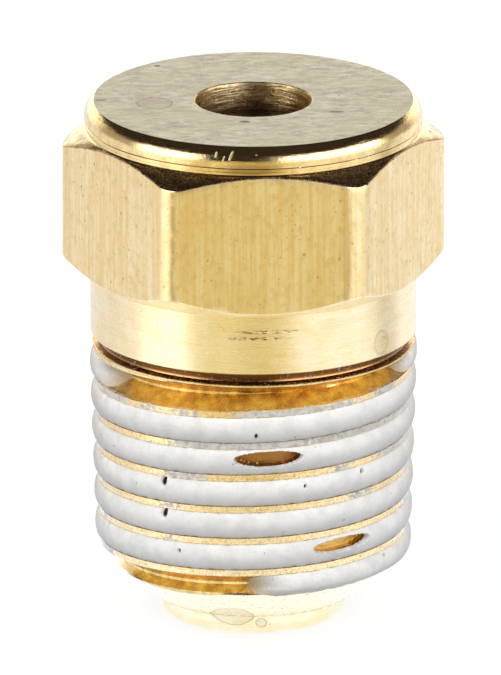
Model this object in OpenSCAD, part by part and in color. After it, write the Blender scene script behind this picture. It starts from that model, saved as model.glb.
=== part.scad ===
// Automatic air vent, 1/4-18 NPT hex plug pattern, brass.
// Swelling fibre discs lift a valve pin that shuts the outlet when water reaches them.
// Millimetres, +Z up. The origin is on the axis, at the bottom face of the nose.

/* [Hex body] */
// Hexagon size across the flats
hex_af = 14.29; // [14.0:0.01:14.6]
// Rounding radius of the hexagon's corners, as the bar is drawn
corner_round = 1.2; // [0.6:0.05:1.5]
// Overall height, nose to top face
total_h = 22.5; // [22.3:0.1:24]
// Height of the top face above the foot of the round land under it
land_h = 1.15; // [1.0:0.05:1.4]
// Diameter of the flat top face
face_d = 13.5; // [13.2:0.05:13.7]
// Rounding radius of the land's upper edge
land_round = 0.8; // [0.5:0.05:1.0]
// Angle of the chamfer over the hexagon's corners
hex_chamfer = 30; // [20:1:40]
// Height of the collar's upper end, where the hexagon's lower cone starts
collar_top = 15.0; // [14.6:0.1:15.5]
// Angle of the cone under the hexagon's corners
hex_foot_angle = 35; // [30:1:45]

/* [Pipe thread] */
// Diameter of the plain collar, equal to the pipe's outside diameter
collar_d = 13.75; // [13.65:0.05:13.9]
// Height of the collar's lower end, where the thread runs out
collar_foot = 12.45; // [12.2:0.05:12.6]
// Thread pitch, 18 threads to the inch
thread_pitch = 1.411; // [1.38:0.001:1.5]
// Crest diameter at the collar
crest_d = 13.5; // [13.3:0.05:13.7]
// Taper of the thread on diameter, one in this many
taper_ratio = 16; // [14:1:20]
// Height of a crest line on the front of the body
crest_front_z = 5.0; // [4.6:0.1:5.4]
// Radial depth of the thread
thread_depth = 0.9; // [0.8:0.05:0.95]
// Width of the flat on the crest
crest_flat = 0.26; // [0.16:0.02:0.3]
// Height of the lower end of the thread, where the nose starts
thread_foot = 0.9; // [0.8:0.1:1.2]
// Height of the chamfer on the end of the thread
end_chamfer_h = 1.9; // [1.8:0.05:2.4]
// How far the sealant bead stands proud of the crests
sealant_proud = 0.19; // [0.1:0.01:0.3]

/* [Nose and bores] */
// Diameter of the nose under the thread
nose_d = 7.8; // [7.7:0.05:8.2]
// Rounding radius of the nose's lower edge
nose_round = 0.5; // [0.3:0.05:0.7]
// Diameter of the chamber that holds the works
chamber_d = 6.4; // [6.3:0.02:6.5]
// Height of the chamber's roof
chamber_top = 19.9; // [19.7:0.05:20.1]
// Diameter of the outlet recess in the top face
outlet_d = 4.9; // [4.5:0.05:5.2]
// Depth of the outlet recess
outlet_depth = 1.2; // [1.0:0.05:1.4]
// Diameter of the vent orifice
orifice_d = 2.4; // [2.2:0.05:2.6]
// Diameter of the opening inside the rolled lip
lip_d = 5.2; // [4.8:0.05:5.4]
// Thickness of the rolled lip
lip_t = 0.4; // [0.3:0.05:0.45]

/* [Works] */
// Dry thickness of one fibre disc
disc_t = 0.8; // [0.76:0.01:0.82]
// Outside diameter of a fibre disc
disc_d = 5.9; // [5.4:0.05:6.0]
// Thickness of the push plate on top of the discs
push_plate_t = 0.8; // [0.6:0.05:0.9]
// Lift of the valve pin when all the discs are wet
valve_lift = 1.2; // [1.0:0.05:1.3]
// Wire diameter of the return spring
spring_wire = 0.35; // [0.3:0.01:0.4]
// Number of coils in the return spring
spring_turns = 6; // [5:1:7]
// Running clearance on radius between a moving piece and its guide
run_gap = 0.08; // [0.05:0.01:0.1]

/* [Hidden] */

$fn = 96;
cut = 0.5; // overshoot of a cutting shape past a face

brass = "#C9A75A";
fibre_red = "#8C3B2A";
steel = "#B9BDC2";
sealant_grey = "#DEDFE0";

// Body heights and radii worked out from the driving sizes
hex_circle_d = hex_af / cos(30);
land_r = hex_af / 2;
land_foot = total_h - land_h;
round_rise = sqrt(pow(land_round, 2) - pow(face_d / 2 - (land_r - land_round), 2));
round_z = total_h - round_rise;
outlet_floor = total_h - outlet_depth;
groove_h = 0.49; // height of the fine groove between the collar and the annular ridge
groove_depth = 0.4; // depth of that groove under the collar's surface
ridge_t = 0.1; // thickness of the annular ridge
runout_h = 0.7; // height of the flank that the ridge stands on
ridge_top = collar_foot - groove_h;
thread_top = ridge_top - ridge_t / 2;
nose_step = 0.2; // width of the end face between the thread's chamfer and the nose

// Thread
thread_steps = 36; // facets in one turn of the thread
flank_half = crest_flat / 2 + thread_depth * tan(30);

// Sealant
bead_steps = 30; // facets in one turn of the bead
bead_from = 3.3; // lowest height of the bead's centre line
bead_to = 11.0; // highest height of the bead's centre line
bead_half = thread_pitch / 2 - crest_flat / 2 - 0.04; // half the bead's width
bead_end = 0.12; // share of a turn over which the bead fades in and out

// Works, from the lip upwards
plate_d = chamber_d - 2 * run_gap;
ring_t = 0.5;
ring_hole_d = 4.4;
screen_t = 0.2;
support_t = 0.8;
ring_z = lip_t;
screen_z = ring_z + ring_t;
support_z = screen_z + screen_t;
stack_z = support_z + support_t;
disc_count = 12;
push_z = stack_z + disc_count * disc_t;
push_top = push_z + push_plate_t;
tail_d = 1.4;
seat_w = 0.5; // width of the raised valve seat's rim
seat_h = 0.3; // how far the valve seat stands down from the chamber's roof
seat_z = chamber_top - seat_h;
seal_t = 0.6;
seal_z = seat_z - valve_lift - seal_t;
seal_d = orifice_d + 2 * seat_w + 0.3;
head_t = 0.6;
tip_d = 1.1;
tip_top = outlet_floor - 0.4;
flange_d = 3.0;
flange_t = 0.6;
stem_d = 1.8;
spring_mid_r = 2.5;

// Radius of the thread's crest at a height
function crest_r(z) = crest_d / 2 - (collar_foot - z) / taper_ratio / 2;

// Height of the thread's crest line after an angle counted from the front, to the right
function crest_z(angle) = crest_front_z + thread_pitch * angle / 360;

// A point at a radius and a height, turned about the axis; angle 0 is the front
function around(r, angle, z) = [r * sin(angle), -r * cos(angle), z];

// Side faces and end caps of a tube of closed sections, each with n points
function tube_faces(n, sections) = concat(
    [[for (i = [n - 1:-1:0]) i]],
    [for (s = [0:sections - 2], i = [0:n - 1])
        [s * n + i, (s + 1) * n + (i + 1) % n, (s + 1) * n + i]],
    [for (s = [0:sections - 2], i = [0:n - 1])
        [s * n + i, s * n + (i + 1) % n, (s + 1) * n + (i + 1) % n]],
    [[for (i = [0:n - 1]) (sections - 1) * n + i]]
);

// One section of the thread: lower root, flat crest and upper root
function thread_section(angle) =
    let (z = crest_z(angle), r = crest_r(z))
    [
        around(r - thread_depth, angle, z - flank_half),
        around(r, angle, z - crest_flat / 2),
        around(r, angle, z + crest_flat / 2),
        around(r - thread_depth, angle, z + flank_half)
    ];

// Index of a point of the thread's surface; line 4 is the next turn's line 0
function thread_point(s, line) = line < 4 ? 4 * s + line : 4 * (s + thread_steps);

// Two triangles for each patch between neighbouring helical lines
function thread_patches(count) = [
    for (s = [0:count - 2], line = [0:3])
        if (line < 3 || s < count - 1 - thread_steps)
            each [
                [thread_point(s, line), thread_point(s + 1, line + 1), thread_point(s + 1, line)],
                [thread_point(s, line), thread_point(s, line + 1), thread_point(s + 1, line + 1)]
            ]
];

// Triangles from a centre point to a closed loop of points
function fan(centre, loop) =
    [for (k = [0:len(loop) - 1]) [centre, loop[(k + 1) % len(loop)], loop[k]]];

// One section of the sealant: a vee that follows the groove, under a crowned back
function bead_section(angle, fade) =
    let (z = crest_z(angle) + thread_pitch / 2, r = crest_r(z), w = bead_half * (0.4 + 0.6 * fade))
    let (root = r - thread_depth + 0.05, proud = sealant_proud * fade - 0.25 * (1 - fade))
    [
        around(root, angle, z),
        around(r - 0.12, angle, z - w),
        for (k = [0:6])
            around(r + proud * sin(180 * (k + 0.5) / 7), angle, z - w * cos(180 * (k + 0.5) / 7)),
        around(r - 0.12, angle, z + w)
    ];

// Bar section: a hexagon with rounded corners
module hex_section() {
    centre_r = (land_r - corner_round) / cos(30);
    steps = 6;
    polygon([
        for (corner = [0:60:300], k = [0:steps])
            let (a = corner - 30 + 60 * k / steps)
            [centre_r * cos(corner) + corner_round * cos(a), centre_r * sin(corner) + corner_round * sin(a)]
    ]);
}

// Cross-section of the turned shape that the hexagon is cut back to
module hex_envelope() {
    chamfer_run = hex_circle_d / 2 - land_r + 1;
    foot_run = 2;
    rotate_extrude()
        polygon([
            [0, collar_top],
            [collar_d / 2, collar_top],
            [collar_d / 2 + foot_run, collar_top + foot_run * tan(hex_foot_angle)],
            [land_r + chamfer_run, land_foot - chamfer_run * tan(hex_chamfer)],
            [land_r, land_foot],
            [0, land_foot]
        ]);
}

// Round land over the hexagon: rounded edge, faced off flat on top
module top_land() {
    start = asin(round_rise / land_round);
    steps = 8;
    rotate_extrude()
        polygon(concat(
            [[0, land_foot - cut], [land_r, land_foot - cut]],
            [for (k = [0:steps])
                [land_r - land_round + land_round * cos(start * k / steps),
                 round_z + land_round * sin(start * k / steps)]],
            [[0, total_h]]
        ));
}

// Plain collar, and under it a fine groove and the annular ridge that the thread runs out into
module collar() {
    ridge_r = crest_r(collar_foot) + 0.03;
    ridge_low = ridge_top - ridge_t;
    groove_r = collar_d / 2 - groove_depth;
    edge = 0.08; // height of the groove's sloping sides
    rotate_extrude()
        polygon([
            [0, ridge_low - runout_h],
            [ridge_r - 1.5 * thread_depth, ridge_low - runout_h],
            [ridge_r, ridge_low],
            [ridge_r, ridge_top],
            [groove_r, ridge_top + edge],
            [groove_r, collar_foot - edge],
            [collar_d / 2, collar_foot],
            [collar_d / 2, collar_top + cut],
            [0, collar_top + cut]
        ]);
}

// Right-hand tapered thread with its core, longer than the threaded length at both ends
module thread() {
    low_angle = (thread_foot - flank_half - thread_pitch - crest_z(0)) / thread_pitch;
    high_angle = (thread_top + flank_half + thread_pitch - crest_z(0)) / thread_pitch;
    first = floor(low_angle * thread_steps);
    count = ceil(high_angle * thread_steps) - first + 1;
    angles = [for (s = [0:count - 1]) (first + s) * 360 / thread_steps];
    low_loop = concat([0, 1, 2, 3], [for (s = [thread_steps:-1:1]) thread_point(s, 0)]);
    high_loop = concat(
        [for (s = [count - 1 - thread_steps:count - 1]) thread_point(s, 3)],
        [for (line = [2:-1:0]) thread_point(count - 1, line)]
    );
    polyhedron(
        points = concat(
            [for (angle = angles) each thread_section(angle)],
            [[0, 0, crest_z(angles[0]) - thread_pitch], [0, 0, crest_z(angles[count - 1]) + thread_pitch]]
        ),
        faces = concat(
            thread_patches(count),
            fan(4 * count, low_loop),
            fan(4 * count + 1, high_loop)
        ),
        convexity = 12
    );
}

// The thread's lower end face and end chamfer, as the space that the thread may fill
module thread_envelope() {
    end_r = nose_d / 2 + nose_step;
    wide = 2; // clearance outside the crests
    chamfer_r = crest_r(thread_foot + end_chamfer_h);
    slope = (chamfer_r - end_r) / end_chamfer_h;
    rotate_extrude()
        polygon([
            [0, thread_foot],
            [end_r, thread_foot],
            [chamfer_r + wide, thread_foot + end_chamfer_h + wide / slope],
            [chamfer_r + wide, thread_top],
            [0, thread_top]
        ]);
}

module nose() {
    steps = 8;
    rotate_extrude()
        polygon(concat(
            [[0, 0]],
            [for (k = [0:steps])
                [nose_d / 2 - nose_round + nose_round * sin(90 * k / steps),
                 nose_round - nose_round * cos(90 * k / steps)]],
            [[nose_d / 2, thread_foot + cut], [0, thread_foot + cut]]
        ));
}

// Chamber, valve seat, orifice and outlet recess, as the space to remove
module body_bores() {
    translate([0, 0, -cut])
        cylinder(h = lip_t + 2 * cut, d = lip_d);
    difference() {
        translate([0, 0, lip_t])
            cylinder(h = chamber_top - lip_t, d = chamber_d);
        translate([0, 0, seat_z])
            cylinder(h = seat_h + cut, d = orifice_d + 2 * seat_w);
    }
    translate([0, 0, seat_z - cut])
        cylinder(h = outlet_floor - seat_z + 2 * cut, d = orifice_d);
    translate([0, 0, outlet_floor])
        cylinder(h = outlet_depth + cut, d = outlet_d);
}

module body() {
    color(brass)
        difference() {
            union() {
                intersection() {
                    linear_extrude(height = total_h)
                        hex_section();
                    hex_envelope();
                }
                top_land();
                collar();
                nose();
                intersection() {
                    thread();
                    thread_envelope();
                }
            }
            body_bores();
        }
}

// Dry sealant that fills the grooves and stands a little proud of the crests
module thread_sealant() {
    first = ceil((bead_from - crest_z(0) - thread_pitch / 2) / thread_pitch * bead_steps);
    last = floor((bead_to - crest_z(0) - thread_pitch / 2) / thread_pitch * bead_steps);
    fade_steps = bead_end * bead_steps;
    sections = [for (s = [first:last])
        bead_section(s * 360 / bead_steps, min(1, (s - first) / fade_steps, (last - s) / fade_steps))];
    color(sealant_grey)
        polyhedron(
            points = [for (section = sections) each section],
            faces = tube_faces(10, last - first + 1),
            convexity = 12
        );
}

// Valve pin: tail through the discs, flange on the push plate, head under the seal, tip in the orifice
module valve_pin() {
    tail_z = stack_z + 0.1;
    color(brass)
        union() {
            translate([0, 0, tail_z])
                cylinder(h = push_top - tail_z + cut, d = tail_d);
            translate([0, 0, push_top])
                cylinder(h = flange_t, d = flange_d);
            translate([0, 0, push_top])
                cylinder(h = seal_z - push_top, d = stem_d);
            translate([0, 0, seal_z - head_t])
                cylinder(h = head_t, d = seal_d);
            translate([0, 0, seal_z - head_t])
                cylinder(h = tip_top - seal_z + head_t - tip_d / 4, d = tip_d);
            translate([0, 0, tip_top - tip_d / 4])
                cylinder(h = tip_d / 4, d1 = tip_d, d2 = tip_d / 2);
        }
}

// A washer with square edges
module washer(z, t, outer_d, inner_d) {
    translate([0, 0, z])
        difference() {
            cylinder(h = t, d = outer_d);
            translate([0, 0, -cut])
                cylinder(h = t + 2 * cut, d = inner_d);
        }
}

module valve_seal() {
    color("#26262A")
        washer(seal_z, seal_t, seal_d, tip_d);
}

// Push plate: runs in the chamber, with notches in its edge that let the air past
module push_plate() {
    notch_count = 4;
    notch_d = 1.2;
    color(brass)
        difference() {
            washer(push_z, push_plate_t, plate_d, tail_d + 2 * run_gap);
            for (k = [0:notch_count - 1])
                rotate(45 + 360 * k / notch_count)
                    translate([plate_d / 2, 0, push_z - cut])
                        cylinder(h = push_plate_t + 2 * cut, d = notch_d, $fn = 32);
        }
}

// One section of the spring's wire, with its centre on the helix
function wire_section(angle, z) = [
    for (k = [0:7])
        around(
            spring_mid_r + spring_wire / 2 * cos(360 * k / 8),
            angle,
            z + spring_wire / 2 * sin(360 * k / 8)
        )
];

module return_spring() {
    steps = 24; // facets in one coil
    low = push_top + spring_wire / 2 + 0.01;
    high = chamber_top - spring_wire / 2 - 0.01;
    end_turns = 1; // closed coils at the two ends together, half of them at each end
    count = (spring_turns + end_turns) * steps;
    rise = high - low - 2 * spring_wire;
    color(steel)
        polyhedron(
            points = [for (s = [0:count])
                let (turn = s / steps, open = min(max(turn - end_turns / 2, 0), spring_turns))
                let (closed = min(turn, end_turns / 2) + max(turn - spring_turns - end_turns / 2, 0))
                each wire_section(
                    turn * 360,
                    low + rise * open / spring_turns + 2 * spring_wire * closed / end_turns
                )],
            faces = tube_faces(8, count + 1),
            convexity = 10
        );
}

module fibre_disc(number) {
    color(fibre_red)
        washer(stack_z + (number - 1) * disc_t, disc_t, disc_d, tail_d + 2 * run_gap);
}

// Round plate with a ring of holes
module holed_plate(z, t, hole_count, hole_d, hole_ring_d) {
    difference() {
        translate([0, 0, z])
            cylinder(h = t, d = plate_d);
        for (k = [0:hole_count - 1])
            rotate(360 * k / hole_count)
                translate([hole_ring_d / 2, 0, z - cut])
                    cylinder(h = t + 2 * cut, d = hole_d, $fn = 32);
    }
}

module support_plate() {
    color(brass)
        holed_plate(support_z, support_t, 6, 1.1, 3.9);
}

// Strainer: a thin plate with a field of fine square holes
module strainer_screen() {
    hole = 0.34;
    step = 0.56;
    reach = 3; // holes on each side of the middle one
    color(steel)
        difference() {
            translate([0, 0, screen_z])
                cylinder(h = screen_t, d = plate_d);
            for (i = [-reach:reach], j = [-reach:reach])
                if (norm([i, j]) <= reach + 0.2)
                    translate([i * step - hole / 2, j * step - hole / 2, screen_z - cut])
                        cube([hole, hole, screen_t + 2 * cut]);
        }
}

module retaining_ring() {
    color(brass)
        washer(ring_z, ring_t, plate_d, ring_hole_d);
}

body();
thread_sealant();
valve_pin();
valve_seal();
push_plate();
return_spring();
fibre_disc(1);  // fibre_disc_1
fibre_disc(2);  // fibre_disc_2
fibre_disc(3);  // fibre_disc_3
fibre_disc(4);  // fibre_disc_4
fibre_disc(5);  // fibre_disc_5
fibre_disc(6);  // fibre_disc_6
fibre_disc(7);  // fibre_disc_7
fibre_disc(8);  // fibre_disc_8
fibre_disc(9);  // fibre_disc_9
fibre_disc(10);  // fibre_disc_10
fibre_disc(11);  // fibre_disc_11
fibre_disc(12);  // fibre_disc_12
support_plate();
strainer_screen();
retaining_ring();
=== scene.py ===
"""Looks of the automatic air vent: brass plug body, sealant bead and the works inside it."""

import math

import bmesh
import bpy
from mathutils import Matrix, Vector, noise


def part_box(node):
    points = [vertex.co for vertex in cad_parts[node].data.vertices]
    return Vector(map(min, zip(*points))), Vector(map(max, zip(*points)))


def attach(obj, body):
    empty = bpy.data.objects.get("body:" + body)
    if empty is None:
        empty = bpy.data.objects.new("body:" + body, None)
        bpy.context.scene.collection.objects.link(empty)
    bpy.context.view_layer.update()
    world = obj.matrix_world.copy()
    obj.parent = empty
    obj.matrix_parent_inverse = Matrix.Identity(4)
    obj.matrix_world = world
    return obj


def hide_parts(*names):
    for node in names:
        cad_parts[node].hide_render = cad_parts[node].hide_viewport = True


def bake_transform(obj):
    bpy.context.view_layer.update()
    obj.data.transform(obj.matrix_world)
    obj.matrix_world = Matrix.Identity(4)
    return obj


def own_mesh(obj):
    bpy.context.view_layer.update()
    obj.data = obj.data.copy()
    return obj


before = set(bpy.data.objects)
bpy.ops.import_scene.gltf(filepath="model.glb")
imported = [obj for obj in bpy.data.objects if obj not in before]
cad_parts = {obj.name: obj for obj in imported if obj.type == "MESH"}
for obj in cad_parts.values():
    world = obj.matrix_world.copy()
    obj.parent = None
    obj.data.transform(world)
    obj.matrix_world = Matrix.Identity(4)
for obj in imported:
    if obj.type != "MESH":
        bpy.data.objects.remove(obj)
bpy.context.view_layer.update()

# Sizes read from the frame, in millimetres, Z up from the bottom of the nose
MM = 0.001
BODY_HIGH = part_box("body")[1] / MM
TOTAL_H = BODY_HIGH.z
LAND_R = BODY_HIGH.y
CORNER_ROUND = 1.2
CORNER_CENTRE = (LAND_R - CORNER_ROUND) / math.cos(math.radians(30))

# The body's own sizes, as the CAD source has them
PITCH = 1.411
CREST_FRONT_Z = 5.0
CREST_FLAT = 0.26
THREAD_DEPTH = 0.9
COLLAR_R = 6.875
COLLAR_FOOT = 12.45
COLLAR_TOP = 15.0
GROOVE_R = COLLAR_R - 0.4
THREAD_FOOT = 0.9
END_CHAMFER_H = 1.9
RIDGE_Z = 11.86
RIDGE_T = 0.1
RUNOUT_H = 0.7
SEALANT_PROUD = 0.19
NOSE_R = 3.9
END_FACE_R = 4.1
LAND_FOOT = TOTAL_H - 1.15
LAND_ROUND = 0.8
CHAMFER_DROP = 0.1
FACE_R = 6.75
RECESS_R = 2.45
RECESS_FLOOR = TOTAL_H - 1.2
ORIFICE_R = 1.2
SEAT_Z = 19.6
ROOF_Z = 19.9
CHAMBER_R = 3.2
LIP_R = 2.6
LIP_T = 0.4
FLANGE_FOOT = 12.3
FLANGE_TOP = 12.9
BEAD_HALF = 0.555
CHAMFER_SLOPE = math.tan(math.radians(30))
HEX_FOOT_SLOPE = math.tan(math.radians(35))
END_SLOPE = (6.75 - (COLLAR_FOOT - THREAD_FOOT - END_CHAMFER_H) / 32 - END_FACE_R) / END_CHAMFER_H


def crest_r(z):
    """Radius of the taper thread's crest at a height."""
    return 6.75 - (COLLAR_FOOT - z) / 32


def crest_z(azimuth):
    """Height of the crest line after a total angle in degrees, 0 at the front and growing to the right."""
    return CREST_FRONT_Z + PITCH * azimuth / 360


def end_cone_r(z):
    """Radius of the chamfer on the thread's lower end."""
    return END_FACE_R + (z - THREAD_FOOT) * END_SLOPE


RIDGE_R = crest_r(COLLAR_FOOT) + 0.03


def wave(x, y=0.0, z=0.0):
    """Smooth noise between -1 and 1, the same on every run."""
    return noise.noise(Vector((x, y, z)))


def ring_wave(azimuth, scale, seed, z=0.0):
    """Noise round the axis that closes on itself."""
    a = math.radians(azimuth)
    return wave(scale * math.sin(a) + seed, scale * math.cos(a) - seed, z)


def around(r, azimuth, z):
    a = math.radians(azimuth)
    return (r * math.sin(a), -r * math.cos(a), z)


# ---------------------------------------------------------------- meshes


def make_mesh(name, points, faces, materials, indices=None, smooth_angle=35, values=None):
    """A mesh object from points in millimetres, with coincident points merged.

    Values are named lists with one number per point.
    """
    mesh = bpy.data.meshes.new(name)
    mesh.from_pydata([Vector(p) * MM for p in points], [], faces)
    for m in materials:
        mesh.materials.append(m)
    if indices is not None:
        mesh.polygons.foreach_set("material_index", indices)
    for key, numbers in (values or {}).items():
        mesh.attributes.new(key, "FLOAT", "POINT").data.foreach_set("value", numbers)
    bm = bmesh.new()
    bm.from_mesh(mesh)
    bmesh.ops.remove_doubles(bm, verts=bm.verts, dist=2e-7)
    bmesh.ops.dissolve_degenerate(bm, dist=1e-8, edges=bm.edges)
    bmesh.ops.recalc_face_normals(bm, faces=bm.faces)
    limit = math.radians(smooth_angle)
    for f in bm.faces:
        f.smooth = True
    for e in bm.edges:
        e.smooth = len(e.link_faces) != 2 or e.calc_face_angle(0) < limit
    bm.to_mesh(mesh)
    bm.free()
    obj = bpy.data.objects.new(name, mesh)
    bpy.context.scene.collection.objects.link(obj)
    return obj


def lathe(name, profile, material, segments=96, wobble=0.0, seed=0.0, closed=True, smooth_angle=35):
    """A section of (r, z) points turned about the axis. An open one starts and ends on the axis."""
    n = len(profile)
    points, faces = [], []
    for i in range(segments):
        az = 360 * i / segments
        for r, z in profile:
            dr = wobble * ring_wave(az, 2.5, seed, z * 2) if r > 0.05 else 0
            points.append(around(r + dr, az, z))
    for i in range(segments):
        k = (i + 1) % segments
        for j in range(n if closed else n - 1):
            m = (j + 1) % n
            faces.append((i * n + j, k * n + j, k * n + m, i * n + m))
    return make_mesh(name, points, faces, [material], None, smooth_angle)


def tube_along(path, radius, sides, closed=False):
    """Points and faces of a round wire along a path of points."""
    points, faces = [], []
    count = len(path)
    for i, p in enumerate(path):
        before = Vector(path[i - 1 if (i or closed) else 0])
        after = Vector(path[(i + 1) % count if (closed or i < count - 1) else i])
        along = (after - before).normalized()
        side = along.cross(Vector((0, 0, 1))).normalized()
        up = side.cross(along)
        for k in range(sides):
            a = 2 * math.pi * k / sides
            points.append(Vector(p) + radius * (math.cos(a) * side + math.sin(a) * up))
    rings = count if closed else count - 1
    for i in range(rings):
        m = (i + 1) % count
        for k in range(sides):
            q = (k + 1) % sides
            faces.append((i * sides + k, m * sides + k, m * sides + q, i * sides + q))
    if not closed:
        faces.append(tuple(range(sides)))
        faces.append(tuple(range((count - 1) * sides, count * sides)))
    return points, faces


# ---------------------------------------------------------------- materials


class Nodes:
    """Short names for nodes. Values are sockets, numbers or tuples, and a colour has three parts."""

    def __init__(self, tree):
        self.tree = tree

    def add(self, kind, **settings):
        node = self.tree.nodes.new(kind)
        for key, value in settings.items():
            setattr(node, key, value)
        return node

    def put(self, socket, value):
        if isinstance(value, bpy.types.NodeSocket):
            self.tree.links.new(value, socket)
        elif isinstance(value, tuple) and len(value) < len(socket.default_value):
            socket.default_value = (*value, 1)
        else:
            socket.default_value = value

    def math(self, op, a, b=0.0, c=0.0):
        node = self.add("ShaderNodeMath", operation=op)
        for socket, value in zip(node.inputs, (a, b, c)):
            self.put(socket, value)
        return node.outputs[0]

    def mix(self, fac, a, b):
        node = self.add("ShaderNodeMix", data_type="RGBA")
        self.put(node.inputs[0], fac)
        self.put(node.inputs[6], a)
        self.put(node.inputs[7], b)
        return node.outputs[2]


class Shader(Nodes):
    """A material in the making. Positions are in millimetres."""

    def __init__(self, name):
        self.material = bpy.data.materials.new(name)
        self.material.use_nodes = True
        super().__init__(self.material.node_tree)
        self.bsdf = self.tree.nodes["Principled BSDF"]
        coords = self.add("ShaderNodeTexCoord")
        scaled = self.add("ShaderNodeVectorMath", operation="SCALE")
        self.put(scaled.inputs[0], coords.outputs["Object"])
        scaled.inputs["Scale"].default_value = 1 / MM
        self.pos = scaled.outputs[0]
        xyz = self.add("ShaderNodeSeparateXYZ")
        self.put(xyz.inputs[0], self.pos)
        self.x, self.y, self.z = xyz.outputs

    def stretch(self, sx, sy, sz, offset=0.0):
        """The position with each axis scaled, for streaks."""
        node = self.add("ShaderNodeVectorMath", operation="MULTIPLY_ADD")
        self.put(node.inputs[0], self.pos)
        node.inputs[1].default_value = (sx, sy, sz)
        node.inputs[2].default_value = (offset, offset, offset)
        return node.outputs[0]

    def noise(self, vector, scale, detail=3.0, rough=0.55):
        node = self.add("ShaderNodeTexNoise")
        self.put(node.inputs["Vector"], vector)
        node.inputs["Scale"].default_value = scale
        node.inputs["Detail"].default_value = detail
        node.inputs["Roughness"].default_value = rough
        return node.outputs["Fac"]

    def spots(self, scale, size, share, vector=None, ragged=0.3):
        """Mask of scattered round specks: share is how many cells hold one."""
        wobble = self.noise(self.pos, scale * 2.5, 2)
        base = vector or self.pos
        shift = self.add("ShaderNodeVectorMath", operation="MULTIPLY_ADD")
        blend = self.add("ShaderNodeCombineXYZ")
        for socket in blend.inputs:
            self.put(socket, wobble)
        self.put(shift.inputs[0], blend.outputs[0])
        shift.inputs[1].default_value = (ragged / scale,) * 3
        self.put(shift.inputs[2], base)
        cell = self.add("ShaderNodeTexVoronoi")
        self.put(cell.inputs["Vector"], shift.outputs[0])
        cell.inputs["Scale"].default_value = scale
        split = self.add("ShaderNodeSeparateColor")
        self.put(split.inputs[0], cell.outputs["Color"])
        near = self.remap(cell.outputs["Distance"], size, size * 0.55)
        chosen = self.math("LESS_THAN", split.outputs[0], share)
        return self.math("MULTIPLY", near, chosen)

    def remap(self, value, low, high, to_low=0.0, to_high=1.0):
        node = self.add("ShaderNodeMapRange")
        for socket, v in zip(node.inputs, (value, low, high, to_low, to_high)):
            self.put(socket, v)
        return node.outputs[0]

    def tint(self, color, mask, amount, tone):
        """The colour with some of a tone over it where the mask is."""
        return self.mix(self.math("MULTIPLY", mask, amount), color, tone)

    def plus(self, a, b, share):
        """a and a share of b."""
        return self.math("MULTIPLY_ADD", b, share, a)

    def ragged(self, mask, noise, amount):
        """The mask with noise over it, so that a threshold gives it a ragged edge."""
        return self.math("MULTIPLY_ADD", self.math("SUBTRACT", noise, 0.5), amount, mask)

    def bump(self, height, micrometres, normal=None):
        node = self.add("ShaderNodeBump")
        node.inputs["Distance"].default_value = micrometres * 1e-6
        self.put(node.inputs["Height"], height)
        if normal is not None:
            self.put(node.inputs["Normal"], normal)
        return node.outputs[0]

    def distance(self, vector, place, squeeze):
        """How far a position is from a place, with each axis scaled."""
        off = self.add("ShaderNodeVectorMath", operation="SUBTRACT")
        self.put(off.inputs[0], vector)
        self.put(off.inputs[1], place)
        scaled = self.add("ShaderNodeVectorMath", operation="MULTIPLY")
        self.put(scaled.inputs[0], off.outputs[0])
        self.put(scaled.inputs[1], squeeze)
        length = self.add("ShaderNodeVectorMath", operation="LENGTH")
        self.put(length.inputs[0], scaled.outputs[0])
        return length.outputs["Value"]

    def near_point(self, x, y, z, radius, soft=0.4, squeeze=(1, 1, 1)):
        """1 inside a ball about a point, falling to 0 at its edge."""
        return self.remap(self.distance(self.pos, (x, y, z), squeeze), radius, radius * (1 - soft))

    def value(self, name):
        """A value that the mesh carries at its points."""
        return self.add("ShaderNodeAttribute", attribute_name=name).outputs["Fac"]

    def scratch(self, x, y, z, radius, tilt, slim=4.0):
        """1 in a slender mark, leaning over by tilt degrees, as seen from the front."""
        turned = self.add("ShaderNodeVectorRotate", rotation_type="Y_AXIS")
        self.put(turned.inputs["Vector"], self.pos)
        turned.inputs["Center"].default_value = (x, y, z)
        turned.inputs["Angle"].default_value = math.radians(tilt)
        return self.remap(self.distance(turned.outputs[0], (x, y, z), (slim, 1, 1)), radius, radius * 0.7)

    def most(self, masks):
        """The greatest of several masks."""
        out = masks[0]
        for mask in masks[1:]:
            out = self.math("MAXIMUM", out, mask)
        return out

    def ring_stain(self, x, y, z, radius, width, squeeze=(1, 1, 1), seed=0.0):
        """The dried edge of a drop: a thin ring with a wavering outline, and a faint fill."""
        wander = self.noise(self.stretch(1, 1, 1, seed), 1.6, 2)
        wide = self.math("MULTIPLY_ADD", wander, -0.5 * radius, self.distance(self.pos, (x, y, z), squeeze))
        off = self.math("ABSOLUTE", self.math("SUBTRACT", wide, radius * 0.75))
        line = self.remap(off, width, width * 0.3)
        fill = self.remap(wide, radius * 0.75, radius * 0.7, 0.0, 0.3)
        return self.math("MAXIMUM", line, fill)

    def finish(self, color, roughness, metallic, normal=None, **extra):
        self.put(self.bsdf.inputs["Base Color"], color)
        self.put(self.bsdf.inputs["Roughness"], roughness)
        self.bsdf.inputs["Metallic"].default_value = metallic
        if normal is not None:
            self.put(self.bsdf.inputs["Normal"], normal)
        for key, value in extra.items():
            self.put(self.bsdf.inputs[key.replace("_", " ")], value)
        return self.material


BRASS = (0.93, 0.70, 0.31)
BRASS_PALE = (0.95, 0.77, 0.44)
BRASS_BROWN = (0.35, 0.20, 0.08)


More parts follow.
